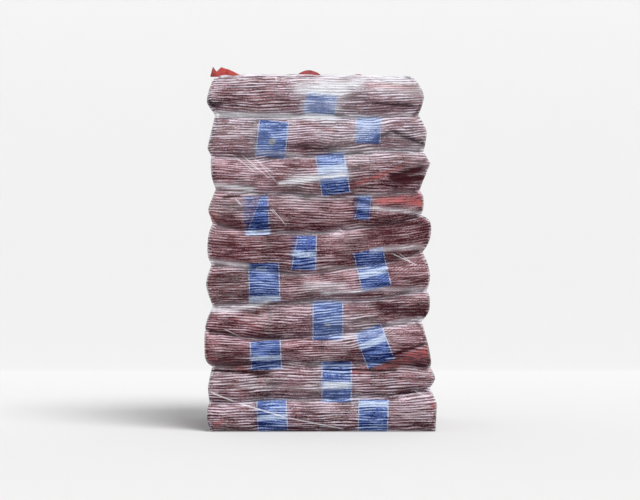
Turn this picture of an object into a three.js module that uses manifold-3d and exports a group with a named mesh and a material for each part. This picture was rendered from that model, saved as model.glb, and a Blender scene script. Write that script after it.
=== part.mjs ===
// A pallet load of firewood in net sacks, ten tiers high, held together by a wound wrap of stretch film.
// Millimetres, +Z up. The origin is the middle of the footprint at floor level, and the front is at -Y.
// Each sack is the outer shape of a filled net: flat above and below where the next sack presses on it, round at
// its sides. The wrap is one tube that follows the tiers, dips between them and folds over the top edge.
import * as THREE from "three";
import Module from "manifold-3d";
import { mergeVertices } from "three/addons/utils/BufferGeometryUtils.js";

const wasm = await Module();
wasm.setup();

// The load. A sack is about 520 long and 300 wide, and lies along or across the load.
const LOAD_DEPTH = 826; // over the sacks, front to rear
const ROW_ACROSS = 300; // depth of a row of sacks that lie across the load
const FLANK_WIDTH = 282; // width of a sack that lies front to rear beside the middle ones
const SACK_GAP = 4; // between neighbours in a tier
const SEAM_GAP = 1; // between tiers
const SHOULDER = 48; // how far a sack's side rounds in at its top and bottom
const SQUARENESS = 7; // exponent of the superellipse of a sack seen from above

// The wrap: film wound in many thin layers.
const WRAP_THICKNESS = 1.5;
const WRAP_CLEARANCE = 5; // from the sacks at the middle of a tier
const WRAP_CORNER = 55; // radius seen from above
const WRAP_FOOT_INSET = 20; // at the bottom edge
const WRAP_FOOT_HEIGHT = 2; // of the bottom edge above the floor
const WRAP_RIM_INSET = 26; // at the top edge, before the lip
const WRAP_LIP_INSET = 62; // where the lip ends on the top sacks
const WRAP_LIP_CLEARANCE = 2.5;

// Height of each seam between tiers at the left, middle and right, from the floor up to the top.
const SEAM_STATION = 530; // distance of the left and right heights from the middle
const SEAMS = [
  [0, 0, 0],
  [154, 155, 212],
  [300, 330, 305],
  [480, 452, 550],
  [614, 628, 682],
  [806, 770, 868],
  [1006, 948, 1058],
  [1171, 1134, 1168],
  [1320, 1332, 1358],
  [1531, 1508, 1531],
  [1704, 1714, 1699],
];
// How far the wrap reaches to the left and right at the middle of each tier, and how far it dips at the seam above.
const TIERS = [
  { left: 545, right: 562, dip: 24 },
  { left: 541, right: 556, dip: 30 },
  { left: 558, right: 536, dip: 22 },
  { left: 555, right: 531, dip: 30 },
  { left: 550, right: 531, dip: 34 },
  { left: 543, right: 536, dip: 24 },
  { left: 541, right: 501, dip: 34 },
  { left: 527, right: 533, dip: 20 },
  { left: 542, right: 517, dip: 34 },
  { left: 546, right: 502, dip: WRAP_RIM_INSET },
];
const FACE_WANDER = 7; // how far the front and rear faces of a tier stand in or out

// Height of seam number k at x: straight from the left height to the middle one, and on to the right one.
function seamHeight(k, x) {
  const [left, middle, right] = SEAMS[k];
  return middle + ((x < 0 ? left : right) - middle) * (Math.abs(x) / SEAM_STATION);
}

// How far the sacks of a tier reach on each side: every tier stands a little in or out of its neighbours.
function tierReach(tier) {
  const wander = (k) => FACE_WANDER * Math.sin(2.4 * k);
  return {
    left: -TIERS[tier].left + WRAP_CLEARANCE + WRAP_THICKNESS,
    right: TIERS[tier].right - WRAP_CLEARANCE - WRAP_THICKNESS,
    front: -LOAD_DEPTH / 2 + wander(tier),
    rear: LOAD_DEPTH / 2 - wander(TIERS.length - 1 - tier),
  };
}

// The share of the shoulder that a side has rounded in by at a level from -1, the bottom, to 1, the top.
const roundedIn = (level) => 1 - Math.sqrt(Math.max(0, 1 - level * level));

// The places in a tier, as [name, left, right, front, rear]. Odd tiers have two sacks across the front with three
// end-on behind. Even tiers have two in the middle between flank sacks, with two across the rear.
function placesOf(tier) {
  const { left, right, front, rear } = tierReach(tier);
  const third = 175;
  const middle = SACK_GAP / 2;
  if (tier % 2 === 0) {
    const split = front + ROW_ACROSS;
    const behind = split + SACK_GAP;
    return [
      ["front_left", left, -middle, front, split],
      ["front_right", middle, right, front, split],
      ["rear_left", left, -third - middle, behind, rear],
      ["rear_middle", -third + middle, third - middle, behind, rear],
      ["rear_right", third + middle, right, behind, rear],
    ];
  }
  const split = rear - ROW_ACROSS;
  const before = split - SACK_GAP;
  const core = Math.min(-left, right) - FLANK_WIDTH;
  const half = (front + before) / 2;
  return [
    ["flank_left", left, -core - middle, front, before],
    ["front_middle", -core + middle, core - middle, front, half - middle],
    ["inner_middle", -core + middle, core - middle, half + middle, before],
    ["flank_right", core + middle, right, front, before],
    ["rear_left", left, -middle, split, rear],
    ["rear_right", middle, right, split, rear],
  ];
}

// A filled sack: a sphere pressed into its place, with flat ends at the seams below and above.
function sackGeometry(tier, [, left, right, front, rear]) {
  const AROUND = 12;
  const RINGS = 6;
  const capEdge = Math.cos(Math.PI / RINGS);
  const geometry = new THREE.SphereGeometry(1, AROUND, RINGS).rotateX(Math.PI / 2);
  const position = geometry.getAttribute("position");
  const squared = (v) => Math.sign(v) * Math.abs(v) ** (2 / SQUARENESS);
  for (let i = 0; i < position.count; i++) {
    const [px, py, pz] = [position.getX(i), position.getY(i), position.getZ(i)];
    const reach = Math.hypot(px, py);
    const level = Math.sign(pz) * Math.min(1, Math.abs(pz) / capEdge) ** 0.75;
    const inset = SHOULDER * roundedIn(level);
    const away = reach < 1e-6 ? 0 : 1;
    const sideways = away && squared(Math.abs(px) < 1e-6 ? 0 : px / reach);
    const lengthways = away && squared(Math.abs(py) < 1e-6 ? 0 : py / reach);
    const x = (left + right) / 2 + sideways * ((right - left) / 2 - inset);
    const y = (front + rear) / 2 + lengthways * ((rear - front) / 2 - inset);
    const low = seamHeight(tier, x) + (tier ? SEAM_GAP / 2 : 0);
    const high = seamHeight(tier + 1, x) - SEAM_GAP / 2;
    position.setXYZ(i, x, y, (low + high) / 2 + (level * (high - low)) / 2);
  }
  return geometry;
}

// A three.js geometry as a manifold-3d solid, and back.
function solidOf(geometry) {
  const bare = geometry.index ? geometry.toNonIndexed() : geometry.clone();
  bare.deleteAttribute("normal");
  bare.deleteAttribute("uv");
  const merged = mergeVertices(bare, 1e-3);
  return new wasm.Manifold(
    new wasm.Mesh({
      numProp: 3,
      vertProperties: merged.attributes.position.array,
      triVerts: new Uint32Array(merged.index.array),
    }),
  );
}
function geometryOf(solid) {
  const { vertProperties, triVerts } = solid.getMesh();
  return new THREE.BufferGeometry()
    .setAttribute("position", new THREE.BufferAttribute(vertProperties, 3))
    .setIndex(new THREE.BufferAttribute(triVerts, 1));
}

// The loose hem of the sack at the top left stands up out of the wrap: a folded tape, high at the left.
function looseHem() {
  const HEM_THICKNESS = 5;
  const HEM_FROM_FRONT = 105;
  const top = SEAMS[TIERS.length][0];
  const outline = new THREE.Shape([
    new THREE.Vector2(-458, top - 30),
    new THREE.Vector2(-362, top - 30),
    new THREE.Vector2(-362, top + 6),
    new THREE.Vector2(-478, top + 52),
    new THREE.Vector2(-500, top + 28),
    new THREE.Vector2(-520, top + 52),
    new THREE.Vector2(-530, top + 20),
    new THREE.Vector2(-458, top + 9),
  ]);
  return new THREE.ExtrudeGeometry(outline, { depth: HEM_THICKNESS, bevelEnabled: false })
    .rotateX(Math.PI / 2)
    .translate(0, -LOAD_DEPTH / 2 + HEM_FROM_FRONT, 0);
}

// The gathered mouth of the middle sack makes a low tuft on the top.
function mouthTuft() {
  const TUFT = { x: -55, fromFront: 115, width: 112, depth: 70, height: 62 };
  const top = seamHeight(TIERS.length, TUFT.x);
  return new THREE.SphereGeometry(0.5, 12, 8)
    .rotateX(Math.PI / 2)
    .scale(TUFT.width, TUFT.depth, TUFT.height)
    .translate(TUFT.x, -LOAD_DEPTH / 2 + TUFT.fromFront, top);
}

// Seen from above the wrap is a rectangle with round corners. Column 0 is the middle of the front, and each side
// has its middle and then the points of the corner that follows it.
const CORNER_POINTS = 3;
const SIDE_COLUMNS = CORNER_POINTS + 1;
function outlinePoint(column, reach, inset) {
  const radius = WRAP_CORNER - inset;
  const left = reach.left + inset;
  const right = reach.right - inset;
  const front = reach.front + inset;
  const rear = reach.rear - inset;
  const side = Math.floor(column / SIDE_COLUMNS) % 4;
  const step = column % SIDE_COLUMNS;
  if (step === 0) {
    return [
      [0, front],
      [right, 0],
      [0, rear],
      [left, 0],
    ][side];
  }
  const angle = (Math.PI / 2) * (side - 1 + (step - 1) / (CORNER_POINTS - 1));
  const cx = side < 2 ? right - radius : left + radius;
  const cy = side === 0 || side === 3 ? front + radius : rear - radius;
  return [cx + radius * Math.cos(angle), cy + radius * Math.sin(angle)];
}

// The wrap's rows from its foot to its lip. Each gives the reach of its row, how far the inner face is set in, its
// height at x, and how the thickness is laid on: outwards and upwards.
function wrapRows() {
  const LEVELS = [-0.66, 0, 0.66];
  const outermost = (a, b) => ({
    left: Math.min(a.left, b.left),
    right: Math.max(a.right, b.right),
    front: Math.min(a.front, b.front),
    rear: Math.max(a.rear, b.rear),
  });
  const last = TIERS.length - 1;
  const rows = [
    {
      reach: tierReach(0),
      inset: WRAP_FOOT_INSET,
      height: () => WRAP_FOOT_HEIGHT,
      outwards: 1,
      upwards: 0,
    },
  ];
  TIERS.forEach(({ dip }, tier) => {
    const reach = tierReach(tier);
    LEVELS.forEach((level) => {
      const nearest = level < 0 && tier === 0 ? WRAP_FOOT_INSET : dip;
      rows.push({
        reach,
        inset: nearest * roundedIn(level) - WRAP_CLEARANCE,
        height: (x) => {
          const [low, high] = [seamHeight(tier, x), seamHeight(tier + 1, x)];
          return (low + high) / 2 + (level * (high - low)) / 2;
        },
        outwards: 1,
        upwards: 0,
      });
    });
    const above = tierReach(Math.min(tier + 1, last));
    rows.push({
      reach: outermost(reach, above),
      inset: dip,
      height: (x) => seamHeight(tier + 1, x),
      outwards: tier === last ? 0.7 : 1,
      upwards: tier === last ? 0.7 : 0,
    });
  });
  rows.push({
    reach: tierReach(last),
    inset: WRAP_LIP_INSET,
    height: (x) => seamHeight(last + 1, x) + WRAP_LIP_CLEARANCE,
    outwards: 0,
    upwards: 1,
  });
  return rows;
}

// The wrap is turned as a ring whose profile goes up the outside and down the inside, and each point is then moved
// to its column of the outline. The radius of a profile point says which face it is on.
function wrapGeometry() {
  const RING_RADIUS = 1000;
  const rows = wrapRows();
  const profile = [];
  rows.forEach((row, i) => profile.push(new THREE.Vector2(RING_RADIUS + WRAP_THICKNESS, i)));
  for (let i = rows.length - 1; i >= 0; i--) {
    profile.push(new THREE.Vector2(RING_RADIUS, i));
  }
  profile.push(profile[0].clone());
  const columns = 4 * SIDE_COLUMNS;
  const geometry = new THREE.LatheGeometry(profile, columns).rotateX(Math.PI / 2);
  const position = geometry.getAttribute("position");
  for (let i = 0; i < position.count; i++) {
    const [px, py] = [position.getX(i), position.getY(i)];
    const turn = Math.atan2(px, -py) / (2 * Math.PI);
    const column = (Math.round(turn * columns) + columns) % columns;
    const outside = Math.hypot(px, py) - RING_RADIUS;
    const row = rows[Math.round(position.getZ(i))];
    const [x, y] = outlinePoint(column, row.reach, row.inset - row.outwards * outside);
    position.setXYZ(i, x, y, row.height(x) + row.upwards * outside);
  }
  return geometry;
}

const nettingMaterial = () =>
  new THREE.MeshStandardMaterial({ color: 0xb0413f, roughness: 0.85, metalness: 0 });
const filmMaterial = () =>
  new THREE.MeshStandardMaterial({ color: 0xdfe0e6, roughness: 0.25, metalness: 0 });

function addPiece(group, name, geometry, material) {
  const piece = new THREE.Mesh(geometry, material);
  piece.name = name;
  group.add(piece);
}

// What stands up out of the top of the load is part of the sack below it.
const TOP_FEATURES = {
  sack_10_flank_left: looseHem,
  sack_10_front_middle: mouthTuft,
};

const load = new THREE.Group();
TIERS.forEach((_, tier) => {
  placesOf(tier).forEach((place) => {
    const name = `sack_${String(tier + 1).padStart(2, "0")}_${place[0]}`;
    const sack = sackGeometry(tier, place);
    const feature = TOP_FEATURES[name];
    const geometry = feature ? geometryOf(solidOf(sack).add(solidOf(feature()))) : sack;
    addPiece(load, name, geometry, nettingMaterial());
  });
});
addPiece(load, "stretch_wrap", wrapGeometry(), filmMaterial());

export default load;
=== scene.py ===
import math

import bpy
import numpy as np
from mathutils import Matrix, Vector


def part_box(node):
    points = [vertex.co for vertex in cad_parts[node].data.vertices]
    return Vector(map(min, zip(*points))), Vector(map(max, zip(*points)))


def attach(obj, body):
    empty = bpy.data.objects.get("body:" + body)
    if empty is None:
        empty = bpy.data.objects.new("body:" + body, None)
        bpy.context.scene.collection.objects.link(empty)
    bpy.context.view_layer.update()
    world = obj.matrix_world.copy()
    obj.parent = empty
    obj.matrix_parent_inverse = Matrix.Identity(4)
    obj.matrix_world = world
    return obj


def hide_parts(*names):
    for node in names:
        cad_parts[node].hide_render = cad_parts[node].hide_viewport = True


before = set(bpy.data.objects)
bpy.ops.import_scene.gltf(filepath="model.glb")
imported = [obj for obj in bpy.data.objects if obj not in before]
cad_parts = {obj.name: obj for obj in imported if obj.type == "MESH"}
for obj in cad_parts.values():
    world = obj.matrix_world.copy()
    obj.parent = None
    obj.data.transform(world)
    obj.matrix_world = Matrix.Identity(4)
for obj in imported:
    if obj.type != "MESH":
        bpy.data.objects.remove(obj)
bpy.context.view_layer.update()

# --------------------------------------------------------------------------------------------------
# The split logs.
# Air-dried hardwood split into wedges: each has one strip of bark, rough split faces with grain along the
# log, and sawn ends. A sack holds twelve, two log lengths long, lying along the sack.
# --------------------------------------------------------------------------------------------------

# The load's seams, which are the levels where one tier of sacks rests on the next: the height of each at the
# left, in the middle and at the right, from the floor up.
SEAMS = 0.001 * np.array([
    [0, 0, 0], [154, 155, 212], [300, 330, 305], [480, 452, 550], [614, 628, 682], [806, 770, 868],
    [1006, 948, 1058], [1171, 1134, 1168], [1320, 1332, 1358], [1531, 1508, 1531], [1704, 1714, 1699],
])
SEAM_STATION = 0.53
SEAM_SAG = 0.006
TIER_COUNT = len(SEAMS) - 1

ACROSS_PLACES = ["front_left", "front_right", "rear_left", "rear_middle", "rear_right"]
BONDED_PLACES = ["flank_left", "front_middle", "inner_middle", "flank_right", "rear_left", "rear_right"]
LYING_ACROSS = {"front_left": (0,), "front_right": (0,), "front_middle": (1,), "inner_middle": (1,),
                "rear_left": (1,), "rear_right": (1,)}
LOG_ROWS, LOG_COLUMNS, LOG_STATIONS = 2, 3, 2


def seam_height(k, x, y):
    """A parabola through the seam's left, middle and right heights, plus a slow wave along both directions
    that is nothing at the floor."""
    left, middle, right = np.moveaxis(SEAMS[k], -1, 0)
    t = np.clip(x / SEAM_STATION, -1.06, 1.06)
    wave = np.sin(7.1 * x + 2.3 * k) + 0.7 * np.sin(15.0 * x + 5.1 * k) + 0.8 * np.sin(6.0 * y + 1.7 * k)
    rise = SEAM_SAG * np.where(k == 0, 0, np.where(k == TIER_COUNT, 0.35, 1.0))
    return middle + t * (right - left) / 2 + t * t * ((left + right) / 2 - middle) + rise * wave


def sacks():
    """Every sack as (name, tier, place, left, right, front, rear, lies_across)."""
    for tier in range(TIER_COUNT):
        for place in ACROSS_PLACES if tier % 2 == 0 else BONDED_PLACES:
            name = "sack_%02d_%s" % (tier + 1, place)
            low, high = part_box(name)
            yield name, tier, place, low[0], high[0], low[1], high[1], tier % 2 in LYING_ACROSS.get(place, ())


# The ends of each tier, left and right: how far out they reach, at what level they reach it, from -1 at the
# seam below to 1 at the seam above, and how square they are, from 1 for a point upwards.
TIER_ENDS = np.array([
    [[0.545, 0.12, 2.0], [0.565, 0.18, 1.3]], [[0.541, -0.28, 1.5], [0.556, -0.19, 1.5]],
    [[0.558, 0.30, 5.0], [0.536, -0.80, 1.3]], [[0.555, -0.85, 1.5], [0.531, 0.12, 3.0]],
    [[0.550, 0.00, 1.3], [0.531, -0.28, 1.6]], [[0.543, -0.32, 2.5], [0.536, 0.07, 2.5]],
    [[0.541, -0.31, 1.2], [0.501, -0.07, 3.0]], [[0.527, 0.50, 2.5], [0.533, 0.35, 1.0]],
    [[0.542, -0.64, 1.2], [0.517, 0.06, 1.3]], [[0.546, -0.27, 1.7], [0.502, -0.02, 1.7]],
])
# How far out the load reaches at each seam, left and right, from the floor up.
SEAM_ENDS = np.array([
    [0.530, 0.557], [0.533, 0.528], [0.518, 0.532], [0.551, 0.490], [0.518, 0.514], [0.523, 0.494],
    [0.518, 0.485], [0.504, 0.480], [0.523, 0.499], [0.504, 0.475], [0.509, 0.448],
])
FACE_DIP = 0.029
FACE_ROUNDING = 0.007
END_GAP = 0.0060
INNER_SHOULDER = 0.003


def from_crest(level, crest):
    """The level measured from the crest, still -1 and 1 at the seams: stretched on one side of the crest and
    squeezed on the other."""
    return np.where(level < crest, (level - crest) / (1 + crest), (level - crest) / (1 - crest))


def end_reach(tier, level, end):
    """How far out a tier reaches at its left end, 0, or its right end, 1: from its full reach at the crest
    down to its reach at the seam below or above, by a power of the level."""
    full, crest, square = (TIER_ENDS[tier, end, part] for part in range(3))
    away = from_crest(level, crest)
    at_seam = np.where(away < 0, SEAM_ENDS[tier, end], SEAM_ENDS[tier + 1, end])
    return full - (full - at_seam) * np.minimum(np.abs(away), 1) ** square


def face_inset(tier, x, level):
    """How far a tier's front or rear face is set in at a level: a power of the level measured from the crest,
    which slides from its left place to its right one by way of the middle."""
    crest = np.where(x < 0, TIER_ENDS[tier, 0, 1], TIER_ENDS[tier, 1, 1])
    crest = crest * np.minimum(np.abs(x) / 0.5, 1) ** 2
    return FACE_DIP * np.minimum(np.abs(from_crest(level, crest)), 1) ** 2.5


def in_sack(sack, px, py, level, margin):
    """Points in a sack. px and py run from -1 to 1 between its sides, and level from its lower seam to its
    upper one. Sides on the outside of the load follow the tier's ends and faces; the others round in at
    the seams."""
    _, tier, _, left, right, front, rear, _ = sack
    shoulder = INNER_SHOULDER * np.abs(level) ** 3 - 0.0015
    face = face_inset(tier, left + (px + 1) * (right - left) / 2, level) + FACE_ROUNDING * np.abs(level) ** 5
    off = END_GAP + 0.003 * np.abs(level) ** 5
    left = off - end_reach(tier, level, 0) if left < -0.4 else left + shoulder
    right = end_reach(tier, level, 1) - off if right > 0.4 else right - shoulder
    front = front + (face if front < -0.35 else shoulder)
    rear = rear - (face if rear > 0.35 else shoulder)
    x = (left + right) / 2 + px * ((right - left) / 2 - margin)
    y = (front + rear) / 2 + py * ((rear - front) / 2 - margin)
    low, high = seam_height(tier, x, y) + margin, seam_height(tier + 1, x, y) - margin
    return np.stack(np.broadcast_arrays(x, y, (low + high) / 2 + level * (high - low) / 2), axis=-1)


def mesh_piece(name, points, faces, materials, uv=None, tags=None, smooth=True):
    """A mesh object from an array of points and a list of face index arrays, with an optional UV map given
    for each face corner, and float attributes given for each point or each face."""
    mesh = bpy.data.meshes.new(name)
    sizes = np.concatenate([np.full(len(f), f.shape[1]) for f in faces])
    corners = np.concatenate([f.ravel() for f in faces]).astype(np.int32)
    mesh.vertices.add(len(points))
    mesh.vertices.foreach_set("co", np.asarray(points, np.float32).ravel())
    mesh.loops.add(len(corners))
    mesh.loops.foreach_set("vertex_index", corners)
    mesh.polygons.add(len(sizes))
    starts = np.concatenate([[0], np.cumsum(sizes)[:-1]])
    mesh.polygons.foreach_set("loop_start", starts.astype(np.int32))
    mesh.update(calc_edges=True)
    mesh.polygons.foreach_set("use_smooth", np.full(len(sizes), smooth))
    if uv is not None:
        mesh.uv_layers.new(name="UVMap").data.foreach_set("uv", np.asarray(uv, np.float32).ravel())
    for tag, values in (tags or {}).items():
        domain = "POINT" if len(values) == len(points) else "FACE"
        mesh.attributes.new(tag, "FLOAT", domain).data.foreach_set("value", np.asarray(values, np.float32))
    mesh.validate()
    piece = bpy.data.objects.new(name, mesh)
    bpy.context.scene.collection.objects.link(piece)
    for material in materials:
        mesh.materials.append(material)
    return piece


def grid_faces(rows, columns, closed=False):
    """The quads of a grid of rows by columns points, row by row; closed joins the last column to the
    first."""
    i = np.arange(rows - 1)[:, None]
    j = np.arange(columns if closed else columns - 1)[None, :]
    k = (j + 1) % columns
    quads = [i * columns + j, i * columns + k, (i + 1) * columns + k, (i + 1) * columns + j]
    return np.stack(np.broadcast_arrays(*quads), axis=-1).reshape(-1, 4)


class Shade:
    """One value in a material. Sums on it add Math nodes, and make() adds any other node."""

    def __init__(self, tree, socket=None):
        self.tree, self.socket = tree, socket

    def make(self, kind, settings=(), inputs=(), output=0):
        """Adds a node, gives it its settings and then its sockets' values or links, and gives one output."""
        node = self.tree.nodes.new("ShaderNode" + kind)
        for name, value in dict(settings).items():
            if name != "stops":
                setattr(node, name, value)
                continue
            ramp = node.color_ramp
            while len(ramp.elements) < len(value):
                ramp.elements.new(1.0)
            for element, (position, colour) in zip(ramp.elements, value):
                element.position, element.color = position, (*colour, 1.0)
        for name, value in dict(inputs).items():
            if isinstance(value, Shade):
                self.tree.links.new(value.socket, node.inputs[name])
            else:
                node.inputs[name].default_value = value
        return Shade(self.tree, node.outputs[output] if node.outputs else None)

    def math(self, operation, *others):
        """A Math node with this value in its first socket and the others after it."""
        return self.make("Math", {"operation": operation}, dict(enumerate((self, *others))))

    def __add__(self, other):
        return self.math("ADD", other)

    def __sub__(self, other):
        return self.math("SUBTRACT", other)

    def __rsub__(self, other):
        return self.make("Math", {"operation": "SUBTRACT"}, {0: other, 1: self})

    def __mul__(self, other):
        return self.math("MULTIPLY", other)

    def __truediv__(self, other):
        return self.math("DIVIDE", other)

    def __pow__(self, other):
        return self.math("POWER", other)

    __radd__, __rmul__ = __add__, __mul__

    def away(self, middle):
        """How far the value is from a middle one, whichever side it is on."""
        return (self - middle).math("ABSOLUTE")

    def tag(self, name):
        """One of the mesh's own values, by its name."""
        return self.make("Attribute", {"attribute_name": name}, (), "Fac")

    def streaks(self, scale, detail, roughness=0.5):
        """Noise over this map, stretched by a scale for each of its axes."""
        at = self.make("Mapping", (), {"Vector": self, "Scale": scale})
        sockets = {"Vector": at, "Scale": 1.0, "Detail": detail, "Roughness": roughness}
        return self.make("TexNoise", (), sockets)

    def spread(self, low, high, to_low=0.0, to_high=1.0):
        """The value stretched from low..high to to_low..to_high, and held at both ends."""
        span = {"Value": self, "From Min": low, "From Max": high, "To Min": to_low, "To Max": to_high}
        return self.make("MapRange", {"clamp": True}, span)

    def blend(self, below, above):
        """Two colours mixed by this value."""
        return self.make("Mix", {"data_type": "RGBA"}, {0: self, 6: below, 7: above}, 2)


def new_material(name):
    """An empty material and the first Shade in its tree."""
    material = bpy.data.materials.new(name)
    material.use_nodes = True
    material.node_tree.nodes.clear()
    return material, Shade(material.node_tree)


def finish_material(material, shade, **sockets):
    """Puts a Principled shader with these socket values or links on the material's output."""
    surface = shade.make("BsdfPrincipled", (), {name.replace("_", " "): v for name, v in sockets.items()})
    shade.make("OutputMaterial", (), {"Surface": surface})
    return material


def wood_material():
    """Bark, split face or sawn end, by the face's kind: 0 is split, 1 is bark and 2 is an end."""
    material, shade = new_material("split_hardwood")
    kind = shade.tag("kind")
    tone = shade.tag("tone")
    uv = shade.make("UVMap", {"uv_map": "UVMap"})
    grain = uv.streaks((9.0, 130.0, 1.0), 4.0, 0.6)
    plates_at = shade.make("Mapping", (), {"Vector": uv, "Scale": (28.0, 70.0, 1.0)})
    plates = shade.make("TexVoronoi", {"feature": "DISTANCE_TO_EDGE"}, {"Vector": plates_at, "Scale": 1.0})
    rings = shade.make("TexWave", {"wave_type": "RINGS"}, {"Vector": uv, "Scale": 40.0, "Distortion": 2.0})
    split = shade.make("ValToRGB", {"stops": [
        (0.25, (0.085, 0.040, 0.022)), (0.55, (0.27, 0.145, 0.075)), (0.85, (0.46, 0.28, 0.16))]},
        {"Fac": grain * 0.8 + tone * 0.35})
    bark = plates.spread(0.0, 0.35).blend((0.018, 0.012, 0.010, 1.0), (0.11, 0.075, 0.058, 1.0))
    sawn = (rings * 0.35 + grain * 0.4 + tone * 0.3).blend((0.22, 0.12, 0.065, 1.0), (0.56, 0.37, 0.21, 1.0))
    colour = kind.spread(0.4, 0.6).blend(split, bark)
    colour = kind.spread(1.4, 1.6).blend(colour, sawn)
    relief = grain * 0.5 + plates.spread(0.0, 0.25) * kind.spread(0.4, 0.6)
    bump = shade.make("Bump", (), {"Height": relief, "Strength": 0.6, "Distance": 0.004})
    return finish_material(material, shade, Base_Color=colour, Roughness=0.85, Normal=bump)


WOOD = wood_material()


def log_pack(sack, seed):
    """The twelve logs of one sack, joined. A log is a wedge section of nine points, a round bark side and two
    split faces, carried over four stations along the sack with a little waist and twist, and capped."""
    rng = np.random.default_rng(seed)
    sides, stations = 9, 4
    count = LOG_ROWS * LOG_COLUMNS * LOG_STATIONS
    row, column, place = np.unravel_index(np.arange(count), (LOG_ROWS, LOG_COLUMNS, LOG_STATIONS))
    turn = rng.uniform(0, 2 * math.pi, count)[:, None, None]
    ring = np.arange(sides) / sides
    bark_side = ring < 0.5
    angle = np.where(bark_side, ring * 2.0 * 2.2 - 2.2, 2.2 + (ring - 0.5) * 2 * 1.9)
    reach = np.where(bark_side, 1.0, 1.0 - 0.55 * np.sin(math.pi * (ring - 0.5) * 2) ** 0.8)
    reach = reach[None, None, :] * rng.uniform(0.88, 1.06, (count, 1, sides))
    reach = reach * rng.uniform(0.94, 1.04, (count, stations, 1))
    t = np.linspace(-1, 1, stations)[None, :, None]
    spin = turn + angle[None, None, :] + 0.12 * t
    half_across = 1.0 / LOG_COLUMNS * rng.uniform(0.93, 1.02, count)[:, None, None]
    half_level = 1.0 / LOG_ROWS * rng.uniform(0.90, 1.0, count)[:, None, None]
    across = (2 * column[:, None, None] + 1) / LOG_COLUMNS - 1 + half_across * reach * np.cos(spin)
    level = (2 * row[:, None, None] + 1) / LOG_ROWS - 1 + half_level * reach * np.sin(spin)
    middle = ((2 * place + 1) / LOG_STATIONS - 1 + rng.uniform(-0.02, 0.02, count))[:, None, None]
    along = middle + t * (0.47 * rng.uniform(0.93, 1.0, count))[:, None, None] + 0 * reach
    along, across, level = along * 0.99, np.clip(across, -1, 1), np.clip(level, -0.97, 0.97)
    px, py = (along, across) if sack[7] else (across, along)
    points = in_sack(sack, px, py, level, 0.007).reshape(-1, 3)
    barrel = grid_faces(stations, sides, closed=True)
    first, last = np.arange(sides)[::-1][None, :], (np.arange(sides) + (stations - 1) * sides)[None, :]
    starts = (np.arange(count) * stations * sides)[:, None, None]
    walls = (barrel[None] + starts).reshape(-1, 4)
    ends = (np.stack([first, last], axis=0)[None, :, 0] + starts).reshape(-1, sides)
    length_way = np.broadcast_to(0.12 * t, spin.shape) + rng.uniform(0, 9, (count, 1, 1))
    round_way = np.broadcast_to(ring * 0.28, spin.shape)
    wall_uv = np.stack([length_way, round_way], axis=-1).reshape(-1, 2)[walls.ravel()]
    end_uv = np.stack([reach * np.cos(spin) * 0.05, reach * np.sin(spin) * 0.04], axis=-1)
    end_uv = end_uv.reshape(-1, 2)[ends.ravel()]
    wall_kind = np.tile(np.tile(np.where(bark_side, 1.0, 0.0), stations - 1), count)
    kind = np.concatenate([wall_kind, np.full(len(ends), 2.0)])
    tone = rng.uniform(0, 1, count)
    tone = np.concatenate([np.repeat(tone, (stations - 1) * sides), np.repeat(tone, 2)])
    piece = mesh_piece(sack[0].replace("sack", "logs"), points, [walls, ends], [WOOD],
                       np.concatenate([wall_uv, end_uv]), {"kind": kind, "tone": tone}, smooth=False)
    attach(piece, "root")
    return piece


for number, sack in enumerate(sacks()):
    log_pack(sack, 100 + number)

# --------------------------------------------------------------------------------------------------
# The net sacks.
# Each is a tube of red knitted plastic net, sewn shut at one end and gathered at the other, pulled tight over
# its logs. The net is denser where it is gathered, and sinks a little between the logs.
# --------------------------------------------------------------------------------------------------

# Where the net on the front is drawn together into red folds, where it is pulled open so that logs show, and
# where it falls back into a hollow, pressed in and painted dark as shade: each from one x and z to another,
# with its half width and amount.
NET_GATHERS = [
    (0.144, 0.286, 0.346, 0.315, 0.011, 0.9), (0.330, 0.322, 0.540, 0.368, 0.019, 1.2),
    (0.420, 0.362, 0.545, 0.396, 0.019, 1.1), (0.144, 1.181, 0.300, 1.236, 0.011, 1.0),
    (0.300, 1.236, 0.400, 1.275, 0.010, 0.6),
    (0.288, 1.114, 0.500, 1.110, 0.026, 0.9), (-0.538, 1.035, -0.408, 0.994, 0.028, 0.7),
    (-0.548, 1.062, -0.518, 1.030, 0.016, 1.2),
    (-0.552, 0.360, -0.380, 0.310, 0.024, 0.8), (-0.496, 0.034, -0.480, 0.044, 0.014, 0.8),
    (0.540, 0.130, 0.550, 0.125, 0.014, 0.8), (-0.42, 0.545, -0.29, 0.500, 0.008, 0.5),
    (0.10, 0.60, 0.24, 0.575, 0.020, 0.35), (-0.10, 1.49, 0.08, 1.44, 0.014, 0.30),
    (0.220, 1.668, 0.440, 1.655, 0.016, 0.55), (0.400, 1.135, 0.500, 1.075, 0.016, 0.8),
]
NET_OPENINGS = [(-0.470, 1.095, -0.400, 1.080, 0.024, 0.40), (-0.480, 0.750, -0.390, 0.740, 0.024, 0.40)]
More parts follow.
